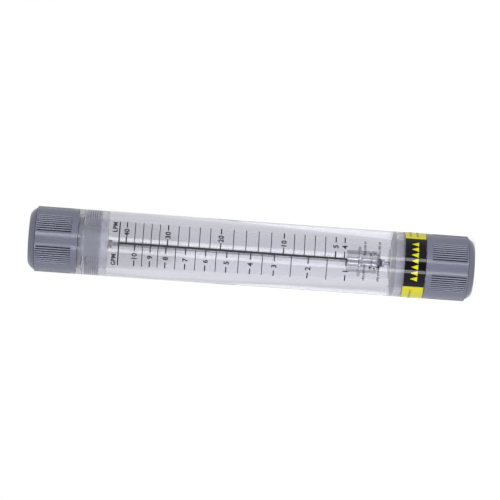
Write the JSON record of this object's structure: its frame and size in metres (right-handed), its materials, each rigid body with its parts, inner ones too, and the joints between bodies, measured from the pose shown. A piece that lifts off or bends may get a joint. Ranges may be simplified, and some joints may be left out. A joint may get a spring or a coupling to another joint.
{
  "type": "rotameter",
  "caption": "In-line flow meter: a clear tapered tube with a printed scale, a steel float sliding on a guide rod, and a fluted grey pipe adapter screwed into each end.",
  "frame": {"origin": "centre of the inlet adapter's end face, on which the meter stands", "axes": "+Z along the flow from inlet to outlet; -Y is the front, where the scale is printed; +X is the side of the litres scale"},
  "size_m": [0.0454, 0.0453, 0.306],
  "materials": {
    "clear_acrylic": "clear, polished",
    "grey_pvc": "moulded, satin",
    "pale_pvc": "moulded, satin",
    "stainless_steel": "turned, bright",
    "silicone": "matt",
    "label_vinyl": "printed, gloss"
  },
  "bodies": {
    "meter": {"meter_tube": "clear_acrylic", "inlet_adapter": "grey_pvc", "outlet_adapter": "grey_pvc", "inlet_o_ring": "silicone", "outlet_o_ring": "silicone", "inlet_spider": "pale_pvc", "outlet_spider": "pale_pvc", "guide_rod": "stainless_steel", "lower_float_stop": "stainless_steel", "upper_float_stop": "stainless_steel", "band_label": "label_vinyl"},
    "float": {"float": "stainless_steel"}
  },
  "joints": [
    {"name": "float_rise", "type": "slide", "parent": "meter", "child": "float", "axis": [0, 0, 1], "range_m": [0, 0.16175]}
  ]
}
